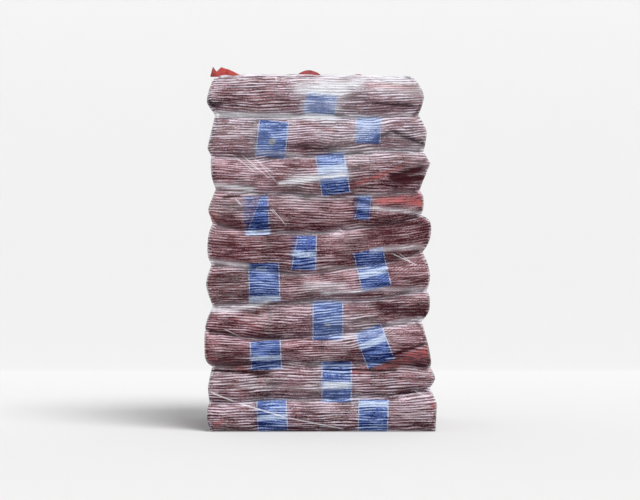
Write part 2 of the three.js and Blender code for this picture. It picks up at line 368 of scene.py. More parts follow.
NET_HOLLOWS = [
    (-0.522, 0.296, -0.264, 0.280, 0.007, 1.0), (0.300, 0.356, 0.495, 0.420, 0.006, 1.0),
    (0.350, 1.225, 0.480, 1.262, 0.014, 0.85), (0.370, 1.208, 0.520, 1.222, 0.014, 0.80),
    (0.272, 1.411, 0.344, 1.445, 0.010, 0.7),
    (0.344, 1.445, 0.504, 1.380, 0.011, 0.7), (0.269, 1.012, 0.518, 0.993, 0.008, 0.6),
    (-0.535, 1.585, -0.490, 1.570, 0.014, 0.6), (0.288, 0.600, 0.528, 0.560, 0.022, 0.6),
    (-0.500, 0.602, -0.300, 0.570, 0.012, 0.5), (-0.170, 1.378, 0.070, 1.350, 0.012, 0.5),
    (-0.460, 1.128, -0.390, 1.135, 0.006, 0.7), (0.020, 0.300, 0.360, 0.294, 0.006, 0.8),
    (-0.300, 0.452, 0.150, 0.440, 0.006, 0.4), (0.060, 0.655, 0.300, 0.660, 0.006, 0.4),
    (0.175, 1.115, 0.245, 1.090, 0.012, 0.8), (0.170, 1.060, 0.240, 1.045, 0.010, 0.7),
    (0.260, 1.578, 0.440, 1.568, 0.007, 0.7),
]
NET_ROUND = 96
NET_RISE = 26
NET_CAP = 6
NET_SQUARENESS = 48
CHAIN_PITCH, LACE_PITCH = 0.0075, 0.0105
FRONT_FROM = -0.30
HOLLOW_DEPTH, GATHER_RISE = 0.011, 0.003


def smooth_noise(u, v, seed, around=64):
    """Random heights from -1 to 1 on a unit lattice, blended between the four nearest by an S-curve. It
    repeats in u after a number of cells."""
    lattice = np.random.default_rng(seed).uniform(-1, 1, (around, 97))
    i, j = np.floor(u).astype(int), np.floor(v).astype(int)
    fu, fv = u - i, v - j
    su, sv = fu * fu * (3 - 2 * fu), fv * fv * (3 - 2 * fv)
    low = lattice[i % around, j % 97] * (1 - su) + lattice[(i + 1) % around, j % 97] * su
    high = lattice[i % around, (j + 1) % 97] * (1 - su) + lattice[(i + 1) % around, (j + 1) % 97] * su
    return low * (1 - sv) + high * sv


def strokes_at(x, z, strokes):
    """How strongly the strokes mark each point: a bell of the distance from the stroke's line, over its
    width."""
    total = 0 * x
    for x0, z0, x1, z1, half_width, amount in strokes:
        share = ((x - x0) * (x1 - x0) + (z - z0) * (z1 - z0)) / ((x1 - x0) ** 2 + (z1 - z0) ** 2)
        share = np.clip(share, 0, 1)
        far = np.hypot(x - x0 - share * (x1 - x0), z - z0 - share * (z1 - z0))
        total = np.maximum(total, amount * np.exp(-(far / half_width) ** 2))
    return total


def on_front(y):
    """One on the load's front, falling to nothing a little way behind it."""
    return np.clip((FRONT_FROM - y) / 0.04, 0, 1)


def pressed_in(x, y, z):
    """How far the front is pressed in at each point: deep in the dark hollows, and a little out at the
    gathers."""
    depth = HOLLOW_DEPTH * strokes_at(x, z, NET_HOLLOWS) - GATHER_RISE * strokes_at(x, z, NET_GATHERS)
    return on_front(y) * depth


def net_material():
    """Knitted net: lengthwise chains, and between them laid-in threads that cross as a lattice. The openings
    are clear, and close up where the net is gathered."""
    material, shade = new_material("red_knitted_net")
    uv = shade.make("UVMap", {"uv_map": "UVMap"})
    gather = shade.tag("gather")
    wander = shade.make("TexNoise", (), {"Vector": uv, "Scale": 14.0, "Detail": 1.0}) * 0.012
    u = shade.make("SeparateXYZ", (), {"Vector": uv}) + wander
    v = shade.make("SeparateXYZ", (), {"Vector": uv}, 1)
    chain = (v / CHAIN_PITCH).math("FRACT").away(0.5)
    lace_up = ((u + v * 0.9) / LACE_PITCH).math("FRACT").away(0.5)
    lace_down = ((u - v * 0.9) / LACE_PITCH).math("FRACT").away(0.5)
    threads = lace_up.math("MINIMUM", lace_down).math("MINIMUM", chain * 1.25)
    width = 0.150 + gather * 0.30
    strand = (width - threads).spread(-0.02, 0.02)
    fold = uv.streaks((26.0, 150.0, 1.0), 3.0)
    patch = shade.make("TexNoise", (), {"Vector": uv, "Scale": 9.0, "Detail": 3.0})
    colour = (fold * 0.7 + patch * 0.5).spread(0.35, 0.85)
    colour = colour.blend((0.20, 0.022, 0.032, 1.0), (0.58, 0.095, 0.110, 1.0))
    colour = gather.spread(0.35, 0.9).blend(colour, (0.56, 0.040, 0.030, 1.0))
    # Painted shade: near black in the hollows drawn on the front and in the crevices at the seams.
    hollow = shade.tag("hollow")
    colour = hollow.spread(0.0, 0.8).blend(colour, (0.010, 0.005, 0.006, 1.0))
    relief = (width - threads) + fold * gather * 0.8
    bump = shade.make("Bump", (), {"Height": relief, "Strength": 0.8, "Distance": 0.003})
    return finish_material(material, shade, Base_Color=colour, Roughness=0.62, Alpha=strand, Normal=bump)


NET = net_material()


def plan_ring(half_x, half_y):
    """A superellipse seen from above, as two coordinates from -1 to 1, in steps of equal length round it."""
    turn = np.linspace(0, 2 * math.pi, 4001)
    px = np.sign(np.cos(turn)) * np.abs(np.cos(turn)) ** (2 / NET_SQUARENESS)
    py = np.sign(np.sin(turn)) * np.abs(np.sin(turn)) ** (2 / NET_SQUARENESS)
    walked = np.concatenate([[0], np.cumsum(np.hypot(half_x * np.diff(px), half_y * np.diff(py)))])
    stops = np.linspace(0, walked[-1], NET_ROUND, endpoint=False)
    return np.interp(stops, walked, px)[None, :], np.interp(stops, walked, py)[None, :]


def net_surface(sack, seed):
    """The sack's closed surface in rings from the middle of its underside to the middle of its top. Side
    rings follow a superellipse in plan, and sink in by noise that is long along the logs."""
    left, right, front, rear, lies_across = sack[3:]
    px, py = plan_ring((right - left) / 2, (rear - front) / 2)
    cap = np.linspace(0.02, 1, NET_CAP, endpoint=False)
    share = np.concatenate([cap, np.ones(NET_RISE), cap[::-1]])[:, None]
    rise = np.sin(np.linspace(-math.pi / 2, math.pi / 2, NET_RISE))
    level = np.concatenate([np.full(NET_CAP, -1), rise, np.full(NET_CAP, 1)])[:, None]
    points = in_sack(sack, share * px, share * py, level, 0.001)
    x, y, z = points[..., 0], points[..., 1], points[..., 2]
    along, across = (x, y) if lies_across else (y, x)
    girth = 0.012 * np.arange(len(level))[:, None]
    dip = 0.5 + 0.5 * smooth_noise(along / 0.16 + 31, girth / 0.045 + across / 0.07 + 17, seed)
    dimple = 0.5 + 0.5 * smooth_noise(along / 0.02 + 9, girth / 0.02 + across / 0.02, seed + 1)
    sink = (0.008 * dip ** 1.5 + 0.003 * dimple) * share
    side = 1 - level ** 8
    x = x - 0.35 * sink * side * np.sign(px) * np.abs(px) ** 12
    y = y - sink * side * np.sign(py) * np.abs(py) ** 12
    z = z - 0.45 * sink * (level > 0.999)
    y = y + pressed_in(x, y, z) * np.clip(-py, 0, 1) ** 12
    return x, y, np.maximum(z, 0.0), px + 0 * x, py + 0 * x, level + 0 * x


def net_piece(sack, seed):
    """One sack's net as a mesh, with its UV map in metres: along the sack, and up or across it."""
    name, lies_across = sack[0], sack[-1]
    x, y, z, px, py, level = net_surface(sack, seed)
    rows, columns = x.shape
    points = np.stack([x, y, z], axis=-1).reshape(-1, 3)
    quads = grid_faces(rows, columns, closed=True)
    bottom = np.arange(columns)[::-1][None, :]
    top = (np.arange(columns) + (rows - 1) * columns)[None, :]
    side_map = np.stack([x + y, z], axis=-1).reshape(-1, 2)
    flat_map = np.stack([x, y] if lies_across else [y, x], axis=-1).reshape(-1, 2)
    ring = quads[:, 0] // columns
    flat = (ring < NET_CAP) | (ring >= rows - NET_CAP - 1)
    uv = np.where(np.repeat(flat, 4)[:, None], flat_map[quads.ravel()], side_map[quads.ravel()])
    uv = np.concatenate([uv, flat_map[bottom.ravel()], flat_map[top.ravel()]])
    end = np.abs(px if lies_across else py)
    gather = 0.25 * np.clip((end - 0.80) / 0.20, 0, 1) ** 1.2
    gather = np.clip(gather + 0.12 * smooth_noise(x / 0.05 + 40, z / 0.03 + y / 0.05 + 40, seed + 5), 0, 1)
    gather = gather + on_front(y) * (strokes_at(x, z, NET_GATHERS) - strokes_at(x, z, NET_OPENINGS))
    # Painted shade: dark in the hollows drawn on the front and in the crevices at the sack's seams.
    hollow = np.maximum(on_front(y) * strokes_at(x, z, NET_HOLLOWS), 0.5 * np.abs(level) ** 10)
    piece = mesh_piece(name.replace("sack", "net"), points, [quads, bottom, top], [NET], uv,
                       {"gather": np.clip(gather, -0.5, 1).ravel(), "hollow": hollow.ravel()})
    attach(piece, "root")
    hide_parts(name)
    return piece


for number, sack in enumerate(sacks()):
    net_piece(sack, 300 + number)

# --------------------------------------------------------------------------------------------------
# The labels.
# A printed band of blue film is sewn to the side of each sack, with a pale edge down both sides and a pale
# strip across it. They lie on the nets, under the wrap.
# --------------------------------------------------------------------------------------------------

# Labels on the front: middle x and z, width and height that show, lean in degrees, how far up the pale strip
# is, from 0 to 1, how much of the top is tucked in at the left, and 1 for a small pale panel or 2 for a round
# spot.
FRONT_LABELS = [
    (0.003, 1.572, 0.152, 0.120, -8, 0.08, 0.0),
    (-0.230, 1.408, 0.146, 0.176, -6, 2.0, 0.0, 2), (0.233, 1.450, 0.120, 0.130, -3, 2.0, 0.0),
    (0.062, 1.240, 0.140, 0.200, 9, 0.62, 0.0),
    (-0.305, 1.040, 0.118, 0.190, 3, 0.05, 0.75), (0.206, 1.078, 0.072, 0.116, -5, 2.0, 0.3),
    (-0.078, 0.860, 0.122, 0.165, -1, 0.45, 0.25),
    (-0.268, 0.716, 0.150, 0.190, 2, 0.09, 0.0, 1), (0.252, 0.780, 0.146, 0.190, 13, 0.42, 0.0),
    (0.038, 0.536, 0.148, 0.188, 0, 2.0, 0.0, 2),
    (-0.260, 0.368, 0.150, 0.138, 3, 0.40, 0.0), (0.262, 0.410, 0.138, 0.180, 21, 0.62, 0.0),
    (0.080, 0.240, 0.146, 0.196, 0, 0.42, 0.0),
    (-0.230, 0.078, 0.146, 0.150, 3, 0.45, 0.0), (0.256, 0.078, 0.146, 0.154, -1, 0.86, 0.0),
]


def label_material():
    """Printed film: blue, with pale edges and a pale strip, faded and creased a little."""
    material, shade = new_material("blue_printed_label")
    uv = shade.make("UVMap", {"uv_map": "UVMap"})
    u, v = shade.make("SeparateXYZ", (), {"Vector": uv}), shade.make("SeparateXYZ", (), {"Vector": uv}, 1)
    strip_at = shade.tag("strip_at")
    edge = u.away(0.5).spread(0.464, 0.470)
    strip = v.away(strip_at).spread(0.090, 0.080)
    place = shade.make("TexCoord", (), (), "Object")
    fade = shade.make("TexNoise", (), {"Vector": place, "Scale": 22.0, "Detail": 3.0})
    field = fade.spread(0.3, 0.75).blend((0.002, 0.036, 0.300, 1.0), (0.010, 0.095, 0.560, 1.0))
    extra = shade.tag("extra")
    panel = u.away(0.42).spread(0.19, 0.17) * v.away(0.86).spread(0.06, 0.05)
    panel = panel * extra.spread(0.5, 0.6) * extra.spread(1.6, 1.5)
    spot = ((u - 0.5) ** 2.0 + (v - 0.42) ** 2.0).spread(0.020, 0.008) * extra.spread(1.5, 1.6)
    colour = strip.blend(field, (0.66, 0.78, 0.92, 1.0))
    colour = panel.blend(colour, (0.70, 0.82, 0.95, 1.0))
    colour = (spot * fade.spread(0.40, 0.60)).blend(colour, (0.55, 0.48, 0.20, 1.0))
    colour = edge.blend(colour, (0.92, 0.95, 1.00, 1.0))
    crease = place.streaks((12.0, 12.0, 120.0), 3.0)
    bump = shade.make("Bump", (), {"Height": crease, "Strength": 0.4, "Distance": 0.004})
    return finish_material(material, shade, Base_Color=colour, Roughness=0.35, Normal=bump)


LABEL = label_material()
LABEL_WIDTH, LABEL_OFF_NET, LABEL_THICKNESS = 0.146, 0.0016, 0.0006


LOAD_HALF_DEPTH = 0.413


def face_reach(tier, rear):
    """How far the front or rear face of a tier stands from the middle of the load, a little in or out of its
    neighbours."""
    return LOAD_HALF_DEPTH - 0.007 * np.sin(2.4 * (TIER_COUNT - 1 - tier if rear else tier))


def net_reach(face, s, z):
    """How far out the nets reach on a face of the load at points s along it and z up it. The seams'
    heights are read where the net itself is, which the second pass finds."""
    out_way = -1 if face in ("front", "left") else 1
    out = np.full(s.shape, 0.52)
    for _ in range(2):
        x, y = (s, out_way * 0.4) if face in ("front", "rear") else (out_way * out, s)
        tier = sum((z > seam_height(k, x, y)).astype(int) for k in range(1, TIER_COUNT))
        low, high = seam_height(tier, x, y), seam_height(tier + 1, x, y)
        level = np.clip((2 * z - low - high) / (high - low), -1, 1)
        if face in ("front", "rear"):
            out = face_reach(tier, face == "rear") - face_inset(tier, x, level)
            out = out - FACE_ROUNDING * np.abs(level) ** 5
        else:
            out = end_reach(tier, level, 0 if out_way < 0 else 1) - END_GAP - 0.006 * np.abs(level) ** 5
    return out - pressed_in(s, -0.4, z) if face == "front" else out


def label_piece(name, face, s, z, width, height, lean, strip_at, tuck, extra=0):
    """A label on one face of the nets: a grid turned by its lean and laid on the sacks, with slow waves."""
    across, up = np.meshgrid(np.linspace(-0.5, 0.5, 16), np.linspace(-0.5, 0.5, 20))
    uv = np.stack([across + 0.5, up + 0.5], axis=-1).reshape(-1, 2)
    across = across + tuck * (up + 0.5) * (0.5 - across)
    turn = math.radians(lean)
    across, up = across * width, up * height
    along = s + across * math.cos(turn) - up * math.sin(turn)
    pz = z + across * math.sin(turn) + up * math.cos(turn)
    out = net_reach(face, along, pz)
    out = out + LABEL_OFF_NET + LABEL_THICKNESS * np.sin(40 * along + 25 * pz)
    out_way = -1 if face in ("front", "left") else 1
    lengthways = face in ("front", "rear")
    points = np.stack([along, out_way * out, pz] if lengthways else [out_way * out, along, pz], axis=-1)
    faces = grid_faces(20, 16)
    if face in ("left", "rear"):
        faces = faces[:, ::-1]
    piece = mesh_piece(name, points.reshape(-1, 3), [faces], [LABEL], uv[faces.ravel()],
                       {"strip_at": np.full(across.size, strip_at), "extra": np.full(across.size, extra)})
    film = piece.modifiers.new("film", "SOLIDIFY")
    film.thickness, film.offset = LABEL_THICKNESS, 1.0
    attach(piece, "root")
    return piece


for number, (x, z, *shape) in enumerate(FRONT_LABELS):
    label_piece("label_front_%02d" % (number + 1), "front", x, z, *shape)


def unseen_labels():
    """The labels on the other faces, as (face, s, z, width, height, lean, strip_at, tuck): one on each
    sack whose long side shows there, at a little random place and lean."""
    rng = np.random.default_rng(77)
    for face in ("left", "right", "rear"):
        for tier in range(TIER_COUNT):
            if face == "rear":
                spots = [-0.26, 0.26] if tier % 2 else []
            else:
                spots = [0.14] if tier % 2 == 0 else [-0.15]
            for spot in spots:
                x, y = (spot, 0.4) if face == "rear" else ((-0.52 if face == "left" else 0.52), spot)
                low, high = float(seam_height(tier, x, y)), float(seam_height(tier + 1, x, y))
                height = min(0.20, (high - low) * rng.uniform(0.78, 0.92))
                lean = rng.uniform(-7, 7)
                strip_at = rng.choice([0.07, 0.42, 0.5, 0.88, 2.0])
                along = spot + rng.uniform(-0.03, 0.03)
                yield face, along, (low + high) / 2, LABEL_WIDTH, height, lean, strip_at, 0.0


for number, label in enumerate(unseen_labels()):
    label_piece("label_%s_%02d" % (label[0], number + 1), *label)

# --------------------------------------------------------------------------------------------------
# The stretch wrap.
# Clear film wound round the load in many level turns. It bridges from tier to tier, and its tension draws it
# into fine pleats along the winding. It is milky where layers and pleats lie together, and folds over on top.
# Pleat tops are pale, partly thicker film and partly a painted highlight; the folds between them carry
# painted shade, and a few patches and creases carry a painted glare.
# --------------------------------------------------------------------------------------------------

WRAP_OFF_SACKS = 0.0065
WRAP_CORNER = 0.024
WRAP_LIP = 0.036
WRAP_GIRTH = 3.6
WRAP_ROWS_PER_TIER = 50
WRAP_LIP_ROWS = 8
PLEAT_PITCH = 0.0124
PLEAT_HEIGHT = 0.0030


def wrap_columns():
    """The wrap's columns seen from above: where each stands along the inner rectangle, from 0 to 1 both ways,
    and its outward direction. The four sides are straight, and each is followed by a quarter circle."""
    front, side, corner = 58, 30, 4
    spans = []
    for number, count in enumerate((front, side, front, side)):
        t = np.linspace(0, 1, count, endpoint=False)
        at = [(t, 0 * t), (1 + 0 * t, t), (1 - t, 1 + 0 * t), (0 * t, 1 - t)][number]
        spans.append((at[0], at[1], np.full(count, (number - 1) * math.pi / 2)))
        bend = (number - 1 + np.linspace(0, 1, corner, endpoint=False)) * math.pi / 2
        spot = [(1, 0), (1, 1), (0, 1), (0, 0)][number]
        spans.append((np.full(corner, spot[0]), np.full(corner, spot[1]), bend))
    a, b, angle = (np.concatenate(part)[None, :] for part in zip(*spans))
    return a, b, np.cos(angle), np.sin(angle)


def pleats(run, v):
    """Height of the pleats from 0 to 1: a wave up the wrap whose phase wanders slowly along the winding,
    so that pleats run level, widen, join and die out."""
    slow = smooth_noise(run * 9, v / 0.25 + 5, 21, 9)
    quick = smooth_noise(run * 26, v / 0.06 + 11, 22, 26)
    short = smooth_noise(run * 60, v / 0.02 + 3, 25, 60)
    phase = v / PLEAT_PITCH + 0.8 * slow + 0.42 * quick + 0.22 * short
    wave = 0.5 + 0.5 * np.cos(2 * math.pi * phase)
    strength = 0.62 + 0.38 * smooth_noise(run * 44, np.round(phase) * 0.61, 24, 44)
    return np.clip(wave * strength, 0, 1)


def wrap_surface():
    """The wrap from foot to lip. It follows the ends and faces of the tiers a little way off, and the
    pleats, and slow dents where it spans between logs, are added along its outward direction."""
    a, b, nx, ny = wrap_columns()
    tau = np.linspace(0, TIER_COUNT, WRAP_ROWS_PER_TIER * TIER_COUNT + 1)[:, None]
    tier = np.minimum(tau.astype(int), TIER_COUNT - 1)
    level = 2 * (tau - tier) - 1
    left, right = -end_reach(tier, level, 0), end_reach(tier, level, 1)
    beside = np.clip(tier + np.where(level < 0, -1, 1), 0, TIER_COUNT - 1)
    part_way = 0.5 * np.abs(level) ** 5
    front, rear = (face_reach(tier, side) * (1 - part_way) + face_reach(beside, side) * part_way
                   for side in (False, True))
    front, rear = -(front + WRAP_OFF_SACKS), rear + WRAP_OFF_SACKS
    x = left + WRAP_CORNER + a * (right - left - 2 * WRAP_CORNER)
    y = front + WRAP_CORNER + b * (rear - front - 2 * WRAP_CORNER)
    low, high = (seam_height(tier + k, x + WRAP_CORNER * nx, y + WRAP_CORNER * ny) for k in (0, 1))
    z = low + (high - low) * (tau - tier)
    run = np.arange(x.shape[1])[None, :] / x.shape[1] + 0 * z
    v = 0.6 * z + 0.4 * np.interp(tau, np.arange(TIER_COUNT + 1), SEAMS.mean(axis=1))
    v = v + 0.006 * smooth_noise(run * 22, z / 0.07 + 7, 26, 22)
    ridge = pleats(run, v)
    dent = smooth_noise(run * 30, z / 0.06 + 2, 31, 30) + 0.6 * smooth_noise(run * 70, z / 0.025 + 2, 32, 70)
    inset = 0.0009 * (1 + dent) - PLEAT_HEIGHT * (ridge - 0.5)
    inset = inset + np.abs(ny) * face_inset(tier, x + WRAP_CORNER * nx, level)
    inset = inset + np.clip(-ny, 0, 1) * pressed_in(x + WRAP_CORNER * nx, y - WRAP_CORNER, z)
    x, y = x + nx * (WRAP_CORNER - inset), y + ny * (WRAP_CORNER - inset)
    lip = np.linspace(0, 1, WRAP_LIP_ROWS + 1)[1:, None]
    crumple = smooth_noise(run[:1] * 60 + 0 * lip, lip * 3, 41, 60)
    lip_x, lip_y = x[-1:] - nx * WRAP_LIP * lip, y[-1:] - ny * WRAP_LIP * lip
    lip_z = z[-1:] + 0.004 * np.sin(math.pi * np.minimum(lip * 1.3, 1)) + 0.003 * (crumple + 1) * lip
    frill = 0.004 * smooth_noise(run[:1] * 90, 0 * run[:1] + 4, 43, 90)
    z = z + frill * np.clip((tau - TIER_COUNT + 0.12) / 0.12, 0, 1)
    z = np.concatenate([np.maximum(z, 0.002), lip_z + frill])
    x, y = np.concatenate([x, lip_x]), np.concatenate([y, lip_y])
    ridge = np.concatenate([ridge, 0.5 + 0.4 * smooth_noise(run[:1] * 90 + 0 * lip, lip * 5, 42, 90)])
    v = np.concatenate([v, v[-1:] + WRAP_LIP * lip])
    level = np.concatenate([level + 0 * run, 1 + 0 * lip_x])
    run = np.concatenate([run, run[:1] + 0 * lip])
    return x, y, z, ridge, level, run, v


# How hazy the wrap is over each tier, by the height of the tier's middle.
TIER_MIDDLES = (SEAMS[1:, 1] + SEAMS[:-1, 1]) / 2
TIER_HAZE = [0.12, 0.16, 0.02, 0.14, 0.06, 0.00, 0.03, 0.12, 0.30, 0.14]
# How far the colour of the nets comes through it there.
TIER_ROSE = [0.25, 0.35, 0.85, 0.55, 0.75, 0.85, 0.90, 0.60, 0.10, 0.15]
# Where many layers lie together on the front and make it pale, and where a painted glare highlight is laid
# on: from one x and z to another, with half width and amount.
WRAP_LAYERS_AND_GLARE = [
    (-0.100, 1.655, 0.110, 1.650, 0.045, 0.85), (0.080, 1.670, 0.430, 1.668, 0.030, 0.60),
    (-0.500, 1.528, 0.060, 1.512, 0.014, 0.75), (0.060, 1.512, 0.440, 1.530, 0.010, 0.45),
    (-0.190, 1.196, 0.120, 1.232, 0.010, 1.15), (-0.140, 1.208, 0.120, 1.236, 0.020, 0.85),
    (-0.504, 1.186, -0.330, 1.168, 0.014, 0.75), (0.260, 1.076, 0.480, 1.052, 0.011, 0.75),
    (-0.520, 0.820, -0.350, 0.800, 0.014, 0.80), (0.250, 0.872, 0.490, 0.890, 0.014, 0.75),
    (-0.520, 0.590, -0.400, 0.590, 0.016, 0.90), (-0.400, 0.590, -0.250, 0.625, 0.009, 0.70),
    (0.020, 0.668, 0.300, 0.686, 0.011, 0.65), (0.300, 0.686, 0.510, 0.684, 0.012, 0.60),
    (0.330, 0.522, 0.490, 0.548, 0.010, 0.60), (-0.070, 0.700, 0.110, 0.700, 0.022, 0.55),
    (-0.020, 0.790, 0.230, 0.790, 0.010, 0.40), (-0.300, 1.345, -0.100, 1.330, 0.010, 0.50),
    (0.060, 1.350, 0.490, 1.362, 0.012, 0.45), (-0.400, 0.218, 0.100, 0.205, 0.010, 0.35),
    (-0.200, 0.960, 0.100, 0.950, 0.010, 0.35), (0.100, 0.455, 0.300, 0.470, 0.010, 0.35),
    (-0.060, 1.575, 0.070, 1.570, 0.035, 0.45), (0.200, 1.450, 0.290, 1.470, 0.045, 0.26),
    (0.300, 1.650, 0.470, 1.640, 0.035, 0.45), (0.190, 1.100, 0.240, 1.090, 0.020, 0.35),
    (0.040, 0.225, 0.120, 0.225, 0.025, 0.40),
]


def haze_and_glare_amount(x, y, z, level, run):
    """How milky the wrap is, from 0 to 1: in bands where it bridges a seam, in broad patches, and in a few
    wide patches where many layers lie flat, some of which are a painted glare, a painted highlight."""
    bands = np.abs(level) ** 9 * (0.40 + 0.60 * smooth_noise(run * 14, z / 0.15, 51, 14))
    patches = np.clip(smooth_noise(run * 16, z / 0.16 + 3, 52, 16), 0, 1) * 0.20
    by_tier = 0.6 * np.interp(z, TIER_MIDDLES, TIER_HAZE)
    # Some of these strokes are a painted glare, a painted highlight on the film.
    drawn = strokes_at(x, z + 0.004 * smooth_noise(run * 40, z / 0.02, 53, 40), WRAP_LAYERS_AND_GLARE)
    return np.clip(0.02 + 0.45 * bands + patches + by_tier + on_front(y) * drawn, 0, 1)


# Where the front is made darker, with fewer pale pleat tops: the same way.
WRAP_DULL = [
    (-0.500, 0.930, -0.150, 0.910, 0.050, 1.0), (0.250, 0.960, 0.500, 0.975, 0.045, 1.0),
    (-0.500, 0.740, -0.380, 0.740, 0.045, 0.3), (0.280, 0.610, 0.500, 0.620, 0.040, 0.8),
    (-0.500, 1.600, -0.300, 1.585, 0.030, 0.2), (0.280, 1.440, 0.470, 1.450, 0.030, 0.6),
    (0.380, 1.220, 0.500, 1.240, 0.050, 0.6), (-0.500, 0.330, -0.300, 0.320, 0.030, 0.8),
]
# Slanting creases and strands in the wrap's front, painted as pale lines: a painted glint along each crease,
# thicker film along the strands. Each from one x and z to another, with its half width and how clearly it
# shows.
CREASES_AND_GLINTS = [
    (-0.245, 1.078, -0.202, 1.032, 0.0024, 0.7), (-0.235, 1.081, -0.158, 0.986, 0.0018, 0.9),
    (0.085, 0.985, 0.125, 0.948, 0.0025, 0.6), (-0.408, 1.125, -0.370, 1.080, 0.0030, 0.6),
    (-0.420, 1.330, -0.300, 1.240, 0.0030, 0.5), (-0.380, 1.335, -0.240, 1.215, 0.0025, 0.6),
    (-0.330, 1.325, -0.215, 1.235, 0.0025, 0.5), (-0.345, 1.290, -0.270, 1.245, 0.0030, 0.6),
    (-0.300, 1.300, -0.200, 1.190, 0.0025, 0.5), (0.340, 0.860, 0.470, 0.800, 0.0030, 0.7),
    (0.375, 0.862, 0.440, 0.815, 0.0025, 0.6), (-0.528, 0.192, -0.400, 0.140, 0.0050, 0.8),
    (-0.400, 0.140, -0.160, 0.070, 0.0050, 0.7), (-0.160, 0.070, 0.120, 0.012, 0.0040, 0.6),
    (0.440, 0.205, 0.520, 0.165, 0.0030, 0.5), (-0.470, 0.500, -0.380, 0.455, 0.0035, 0.5),
]


# The film: its haze, how much whiter the painted highlight makes pleat tops, how dark the painted shade in
# the folds is, and the heights of both.
FILM_HAZE, FILM_TOP, FILM_FOLD = 0.05, 0.78, 0.95
FILM_PALE, FILM_DARK = (0.64, 1.02), (0.44, 0.24)


def creases_and_glints(shade, place):
    """One where a crease's painted glint runs, and nothing elsewhere: for each, the distance across its line,
    cut off at its ends and kept to the front."""
    x, y, z = (shade.make("SeparateXYZ", (), {"Vector": place}, axis) for axis in range(3))
    total = None
    for x0, z0, x1, z1, half_width, amount in CREASES_AND_GLINTS:
        length = math.hypot(x1 - x0, z1 - z0)
        along_x, along_z = (x1 - x0) / length, (z1 - z0) / length
        along = (x - x0) * along_x + (z - z0) * along_z
        off = (x - x0) * along_z - (z - z0) * along_x
        near = off.math("ABSOLUTE").spread(half_width, 0.3 * half_width)
        mark = near * along.spread(0, 0.02) * along.spread(length, length - 0.02) * amount
        total = mark if total is None else total.math("MAXIMUM", mark)
    return total * y.spread(-0.2, -0.25)


def wrap_material():
    """Clear film with a faint haze. Pleat tops are pale, partly thicker film and partly a painted highlight;
    the narrow folds between them are painted dark as shade. Level streaks in the film's own map, of two
    widths, break up both."""
    material, shade = new_material("clear_stretch_film")
    # The pleats' height, with the painted light and shade of each tier and of the hollows added in.
    ridge = shade.tag("ridge")
    clear = shade.tag("clear")
    milk = shade.tag("milk") * clear.spread(0.0, 1.0, 1.0, 0.35)
    rosy = shade.tag("rosy")
    place = shade.make("TexCoord", (), (), "Object")
    uv = shade.make("UVMap", {"uv_map": "UVMap"})
    swell = uv.streaks((5.0, 16.0, 1.0), 2.0).spread(0.35, 0.65)
    long_streak = uv.streaks((6.0, 165.0, 1.0), 2.0, 0.7)
    short_streak = uv.streaks((16.0, 320.0, 1.0), 1.0)
    grain = shade.make("TexNoise", (), {"Vector": place, "Scale": 210.0, "Detail": 2.0, "Roughness": 0.7})
    height = 1.40 * ridge + 2.2 * (long_streak - 0.5) + 1.6 * (short_streak - 0.5)
    height = height + 1.9 * (grain - 0.5) + 0.08 - rosy * 0.10
    # Pale: partly thicker film and partly a painted highlight on pleat tops. Dark: painted shade in the
    # folds.
    pale = height.spread(FILM_PALE[0], FILM_PALE[1])
    dark = height.spread(FILM_DARK[0], FILM_DARK[1]) * milk.spread(0.1, 0.9, 1.0, 0.25)
    pale = pale * clear.spread(0.0, 1.0, 1.0, 0.50) * swell.spread(0.0, 1.0, 0.62, 1.12)
    pale = pale * rosy.spread(0.0, 1.0, 1.0, 0.80)
    gathered = shade.tag("gathered")
    dark = dark * gathered.spread(0.2, 1.0, 1.0, 0.95)
    pale = pale * gathered.spread(0.1, 0.9, 1.0, 0.90)
    tint = shade.make("TexNoise", (), {"Vector": place, "Scale": 5.0, "Detail": 2.0}).spread(0.35, 0.65)
    colour = tint.blend((0.80, 0.62, 0.72, 1.0), (0.68, 0.72, 0.76, 1.0))
    # The colour of the painted highlight on pleat tops, red over the gathers.
    tops = rosy.blend((0.90, 0.84, 0.95, 1.0), (0.92, 0.63, 0.70, 1.0))
    tops = gathered.spread(0.1, 0.8).blend(tops, (0.84, 0.19, 0.13, 1.0))
    printed = shade.tag("printed")
    colour = printed.blend(colour, (0.42, 0.56, 0.92, 1.0))
    colour = pale.blend(colour, printed.blend(tops, (0.58, 0.71, 1.00, 1.0)))
    # The colour of the painted shade in the folds, deep blue over the labels.
    fold_shade_colour = rosy.blend((0.030, 0.008, 0.016, 1.0), (0.060, 0.007, 0.011, 1.0))
    fold_shade_colour = printed.blend(fold_shade_colour, (0.001, 0.010, 0.085, 1.0))
    # Whitish where the film is hazy, and where a glare is painted on as a highlight.
    colour = milk.spread(0.2, 1.0).blend(colour, (0.86, 0.87, 0.92, 1.0))
    # The creases' pale lines, mostly a painted glint, a painted highlight, in near white.
    strokes = creases_and_glints(shade, place)
    alpha = (1.0 - clear) * swell.spread(0.0, 1.0, 2.6 * FILM_HAZE, FILM_HAZE) + pale * FILM_TOP + milk * 0.70
    alpha = alpha.math("MAXIMUM", dark * FILM_FOLD) + strokes * 0.6
    colour = dark.blend(colour, fold_shade_colour)
    colour = strokes.blend(colour, (0.95, 0.92, 0.96, 1.0))
    bump = shade.make("Bump", (), {"Height": height, "Strength": 0.4, "Distance": 0.004})
    return finish_material(material, shade, Base_Color=colour, Alpha=alpha.spread(0.0, 0.95, 0.0, 0.95),
                           Roughness=0.26, Specular_IOR_Level=0.10, Normal=bump)


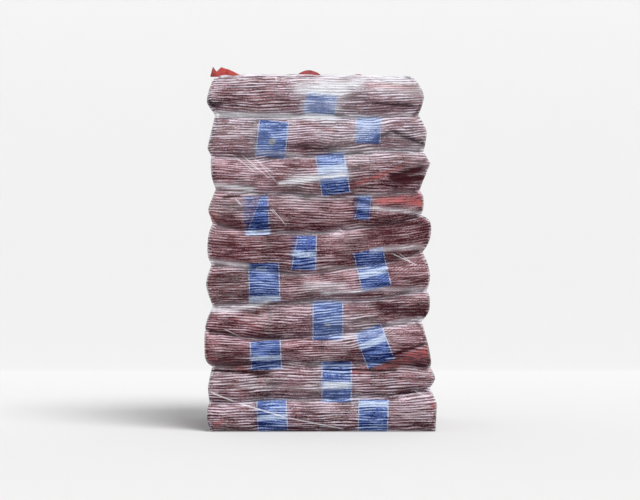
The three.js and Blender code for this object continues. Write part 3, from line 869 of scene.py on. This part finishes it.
def over_labels(x, z):
    """One where a point lies over a label on the front, falling to nothing a little way outside it; and
    the same for the pale strips of the labels."""
    label, pale_strip = 0 * x, 0 * x
    for middle_x, middle_z, width, height, lean, strip_at, *_ in FRONT_LABELS:
        turn = math.radians(lean)
        across = (x - middle_x) * math.cos(turn) + (z - middle_z) * math.sin(turn)
        up = (z - middle_z) * math.cos(turn) - (x - middle_x) * math.sin(turn)
        inside = np.clip(0.5 + (width / 2 - np.abs(across)) / 0.016, 0, 1)
        inside = inside * np.clip(0.5 + (height / 2 - np.abs(up)) / 0.008, 0, 1)
        from_strip = np.abs(up - (strip_at - 0.5) * height)
        label = np.maximum(label, inside)
        on_strip = np.clip(0.5 + (0.085 * height - from_strip) / 0.005, 0, 1)
        pale_strip = np.maximum(pale_strip, inside * on_strip)
    return label, pale_strip


def wrap_piece():
    """The wrap as one open tube."""
    x, y, z, ridge, level, run, v = wrap_surface()
    rows, columns = x.shape
    points = np.stack([x, y, z], axis=-1).reshape(-1, 3)
    faces = grid_faces(rows, columns, closed=True)
    u = (run * WRAP_GIRTH).ravel()[faces]
    u = np.where((faces % columns == 0) & (faces[:, :1] % columns == columns - 1), WRAP_GIRTH, u)
    uv = np.stack([u, v.ravel()[faces]], axis=-1).reshape(-1, 2)
    milk = haze_and_glare_amount(x, y, z, level, run)
    kinds = (NET_GATHERS, NET_OPENINGS, NET_HOLLOWS, WRAP_DULL)
    in_front = y < FRONT_FROM
    gathers, openings, hollows, dull = (in_front * strokes_at(x, z, strokes) for strokes in kinds)
    ragged = 0.8 + 0.5 * smooth_noise(run * 90, z / 0.008, 71, 90)
    # Painted light and shade in the pleats' height: paler on the upper half of each tier and darker on the
    # lower half, as lit from above, and darker over the hollows; also darker where the front is made duller.
    tone = ridge + 0.14 * level - 0.62 * hollows * ragged - 0.22 * dull
    label, pale_strip = over_labels(x, z)
    milk = np.clip(milk + 0.36 * in_front * pale_strip, 0, 1)
    rosy = np.interp(z, TIER_MIDDLES, TIER_ROSE) + 0.25 * smooth_noise(run * 12, z / 0.2, 61, 12)
    rosy = np.clip(rosy, 0, 1)
    # Clear over the gathers and openings, where the net shows, and over the hollows, so the nets' painted
    # shade shows there.
    clear = np.maximum(gathers, np.maximum(openings, hollows))
    tags = {"ridge": tone, "milk": milk, "clear": clear, "gathered": gathers, "rosy": rosy,
            "printed": in_front * label}
    piece = mesh_piece("stretch_wrap_film", points, [faces], [wrap_material()], uv,
                       {name: values.ravel() for name, values in tags.items()})
    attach(piece, "root")
    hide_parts("stretch_wrap")
    return piece


wrap_piece()

# --------------------------------------------------------------------------------------------------
# The loose hem and the gathered mouths on top.
# The hem of the sack at the top left is a folded tape of dense net that stands up out of the wrap, and the
# mouths of two sacks to the right of it are drawn together into low tufts.
# --------------------------------------------------------------------------------------------------

# The hem's outline from its left end to its right: x, and the height above the top.
HEM_OUTLINE = 0.001 * np.array([
    [-532, 12], [-521, 52], [-502, 27], [-482, 50], [-440, 37], [-400, 18], [-360, 2]])


def hem_piece():
    """The tape's outline along its length, carried round a narrow fold: up the front, over the top and
    down the back, with a slow wave along it."""
    top = seam_height(TIER_COUNT, -0.45, -0.31)
    x = np.linspace(HEM_OUTLINE[0, 0], HEM_OUTLINE[-1, 0], 72)[None, :]
    rise = np.interp(x, HEM_OUTLINE[:, 0], HEM_OUTLINE[:, 1])
    turn = np.linspace(0, 2 * math.pi, 20, endpoint=False)[:, None]
    up = 0.5 - 0.5 * np.cos(turn)
    y = -0.316 + 0.004 * np.sin(90 * x) + 0.003 * np.sin(230 * x) * up - 0.004 * np.sin(turn) + 0.02 * up ** 2
    z = top + 0.004 + up * rise + 0 * x
    points = np.stack([x + 0 * turn, y, z], axis=-1)
    rows, columns = points.shape[:2]
    faces = grid_faces(rows, columns)
    here, after = np.arange(columns - 1), np.arange(1, columns)
    last_row = (rows - 1) * columns
    join = np.stack([here + last_row, after + last_row, after, here], axis=-1)
    ends = np.stack([np.arange(rows) * columns, (np.arange(rows) * columns + columns - 1)[::-1]])
    uv = np.stack([points[..., 0], points[..., 2]], axis=-1).reshape(-1, 2)
    corners = np.concatenate([faces.ravel(), join.ravel(), ends.ravel()])
    # Darker in streaks across the folded tape and at its left end.
    streaks = np.sin(70 * points[..., 0] + 420 * points[..., 2] + 3 * np.sin(45 * points[..., 0]))
    hollow = 0.24 + 0.16 * streaks + 0.15 * (points[..., 0] < -0.505)
    piece = mesh_piece("loose_hem", points.reshape(-1, 3), [faces, join, ends], [NET], uv[corners],
                       {"gather": np.ones(rows * columns), "hollow": hollow.ravel()})
    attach(piece, "root")


hem_piece()


def tuft_piece(name, x, y, half_width, rise):
    """A gathered mouth: a dome whose radius ripples with its folds, which deepen towards its rim."""
    turn = np.linspace(0, 2 * math.pi, 72, endpoint=False)[None, :]
    up = np.linspace(0.02, math.pi / 2, 14)[::-1][:, None]
    fold = 1 + 0.10 * np.sin(11 * turn + 2 * np.sin(3 * turn)) * np.cos(up) + 0.04 * np.sin(23 * turn)
    reach = half_width * np.cos(up) * fold
    px, py = x + reach * np.cos(turn), y + 0.65 * reach * np.sin(turn)
    pz = seam_height(TIER_COUNT, x, y) - 0.002 + rise * np.sin(up) * (1 + 0.12 * np.sin(7 * turn)) + 0 * turn
    points = np.stack([px, py, pz], axis=-1)[::-1]
    rows, columns = points.shape[:2]
    faces = grid_faces(rows, columns, closed=True)
    rim, crown = np.arange(columns)[::-1][None, :], (np.arange(columns) + (rows - 1) * columns)[None, :]
    uv = np.stack([0.05 * turn + 0 * up, 0.05 * up + 0 * turn], axis=-1)[::-1].reshape(-1, 2)
    corners = np.concatenate([faces.ravel(), rim.ravel(), crown.ravel()])
    piece = mesh_piece(name, points.reshape(-1, 3), [faces, rim, crown], [NET], uv[corners],
                       {"gather": np.full(rows * columns, 0.45), "hollow": np.full(rows * columns, 0.12)})
    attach(piece, "root")


tuft_piece("mouth_tuft", -0.055, -0.298, 0.056, 0.033)
tuft_piece("mouth_tuft_right", 0.185, -0.320, 0.036, 0.016)

# --------------------------------------------------------------------------------------------------
# The floor, the light and the camera.
# A plain pale floor that sweeps up behind the load, soft studio light from the upper right, and a long lens
# at half the load's height.
# --------------------------------------------------------------------------------------------------


SUN_ACROSS, SUN_HEIGHT, SUN_STRENGTH, SUN_SPREAD = 40, 56, 2.8, 32
SKY_STRENGTH = 0.54
FLOOR_TONE = 0.834


def studio_floor():
    """A flat floor that curves up into a wall behind: straight, a quarter circle, then straight again. Its
    tone is worked out from how squarely each part faces the light, so that it looks the same all over."""
    bend = np.linspace(0, math.pi / 2, 24)
    y = np.concatenate([[-14.0, 0.0, 2.0], 4.0 + 4.0 * np.sin(bend), [8.0]])
    z = np.concatenate([[0.0, 0.0, 0.0], 4.0 - 4.0 * np.cos(bend), [12.0]])
    lean = np.concatenate([[0, 0, 0], bend, [math.pi / 2]])
    x = np.array([-14.0, 14.0])
    points = np.stack(np.broadcast_arrays(x[None, :], y[:, None], z[:, None]), axis=-1).reshape(-1, 3)
    up, out = math.sin(math.radians(SUN_HEIGHT)), math.cos(math.radians(SUN_HEIGHT))
    facing = up * np.cos(lean) + out * math.cos(math.radians(SUN_ACROSS)) * np.sin(lean)
    light = SKY_STRENGTH * np.where(lean > 0, 1.0, 0.90) + SUN_STRENGTH * facing / math.pi
    tone = np.minimum(FLOOR_TONE / light, 0.80)
    lift = np.maximum(FLOOR_TONE - tone * light, 0)
    material, shade = new_material("pale_floor")
    tone_at = shade.make("Attribute", {"attribute_name": "tone"}, (), "Color")
    lift_at = shade.make("Attribute", {"attribute_name": "lift"}, (), "Color")
    finish_material(material, shade, Base_Color=tone_at, Roughness=1.0, Emission_Color=lift_at,
                    Emission_Strength=1.0, Specular_IOR_Level=0.0)
    floor = mesh_piece("studio_floor", points, [grid_faces(len(y), 2)], [material], None,
                       {"tone": np.repeat(tone, 2), "lift": np.repeat(lift, 2)})


studio_floor()


def sun_light(name, across, height, strength, spread):
    """Soft light from far off, so many degrees to the right of the camera and above the floor."""
    data = bpy.data.lights.new(name, "SUN")
    data.energy, data.angle = strength, math.radians(spread)
    light = bpy.data.objects.new(name, data)
    bpy.context.scene.collection.objects.link(light)
    light.rotation_euler = (math.radians(90 - height), 0, math.radians(across))


sun_light("key", SUN_ACROSS, SUN_HEIGHT, SUN_STRENGTH, SUN_SPREAD)

world = bpy.data.worlds.new("studio")
world.use_nodes = True
world.node_tree.nodes["Background"].inputs["Color"].default_value = (1.0, 1.0, 1.0, 1.0)
world.node_tree.nodes["Background"].inputs["Strength"].default_value = SKY_STRENGTH
bpy.context.scene.world = world
bpy.context.scene.view_settings.view_transform = "Standard"

camera_data = bpy.data.cameras.new("camera")
camera_data.lens = 105.5
camera = bpy.data.objects.new("camera", camera_data)
camera.location = (0.0, -9.42, 0.874)
camera.rotation_euler = (math.pi / 2, 0.0, 0.0)
bpy.context.scene.collection.objects.link(camera)
bpy.context.scene.camera = camera
